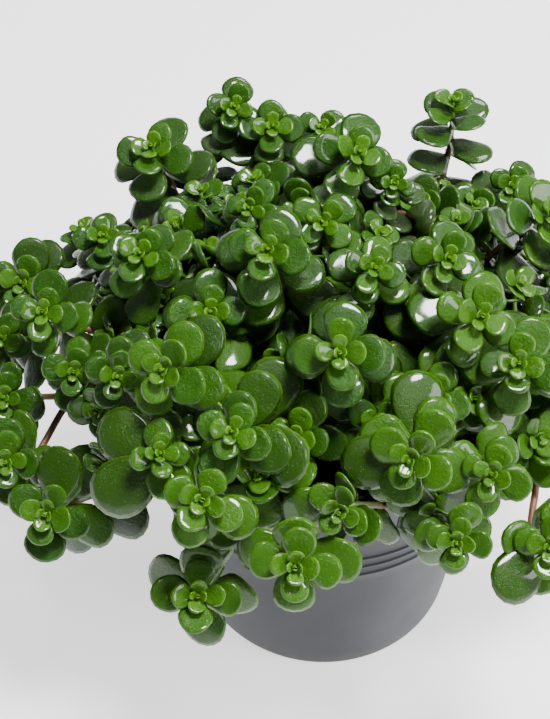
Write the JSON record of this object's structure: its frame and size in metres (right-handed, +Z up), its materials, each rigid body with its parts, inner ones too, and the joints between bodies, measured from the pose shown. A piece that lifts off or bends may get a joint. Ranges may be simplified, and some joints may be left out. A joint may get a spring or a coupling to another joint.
{
  "type": "potted succulent",
  "caption": "Bushy sedum with round glossy leaves in crossed pairs, spilling over a tapered dark grey plastic pot.",
  "frame": {"origin": "middle of the pot's flat foot, on its bottom face", "axes": "+Z up out of the pot, -Y towards the side that the picture shows, +X to the right of that side"},
  "size_m": [0.2335, 0.2121, 0.1873],
  "materials": {
    "sedum_leaf": "glossy fleshy leaf, bright green at the tips and deep green below",
    "grey_plastic": "satin dark blue-grey injection-moulded plastic",
    "dark_soil": null
  },
  "bodies": {
    "root": {"leafy_stem_01": "sedum_leaf", "leafy_stem_02": "sedum_leaf", "leafy_stem_03": "sedum_leaf", "leafy_stem_04": "sedum_leaf", "leafy_stem_05": "sedum_leaf", "leafy_stem_06": "sedum_leaf", "leafy_stem_07": "sedum_leaf", "leafy_stem_08": "sedum_leaf", "leafy_stem_09": "sedum_leaf", "leafy_stem_10": "sedum_leaf", "leafy_stem_11": "sedum_leaf", "leafy_stem_12": "sedum_leaf", "leafy_stem_13": "sedum_leaf", "leafy_stem_14": "sedum_leaf", "leafy_stem_15": "sedum_leaf", "leafy_stem_16": "sedum_leaf", "leafy_stem_17": "sedum_leaf", "leafy_stem_18": "sedum_leaf", "leafy_stem_19": "sedum_leaf", "leafy_stem_20": "sedum_leaf", "leafy_stem_21": "sedum_leaf", "leafy_stem_22": "sedum_leaf", "leafy_stem_23": "sedum_leaf", "leafy_stem_24": "sedum_leaf", "leafy_stem_25": "sedum_leaf", "leafy_stem_26": "sedum_leaf", "pot": "grey_plastic", "soil": "dark_soil"}
  },
  "joints": []
}
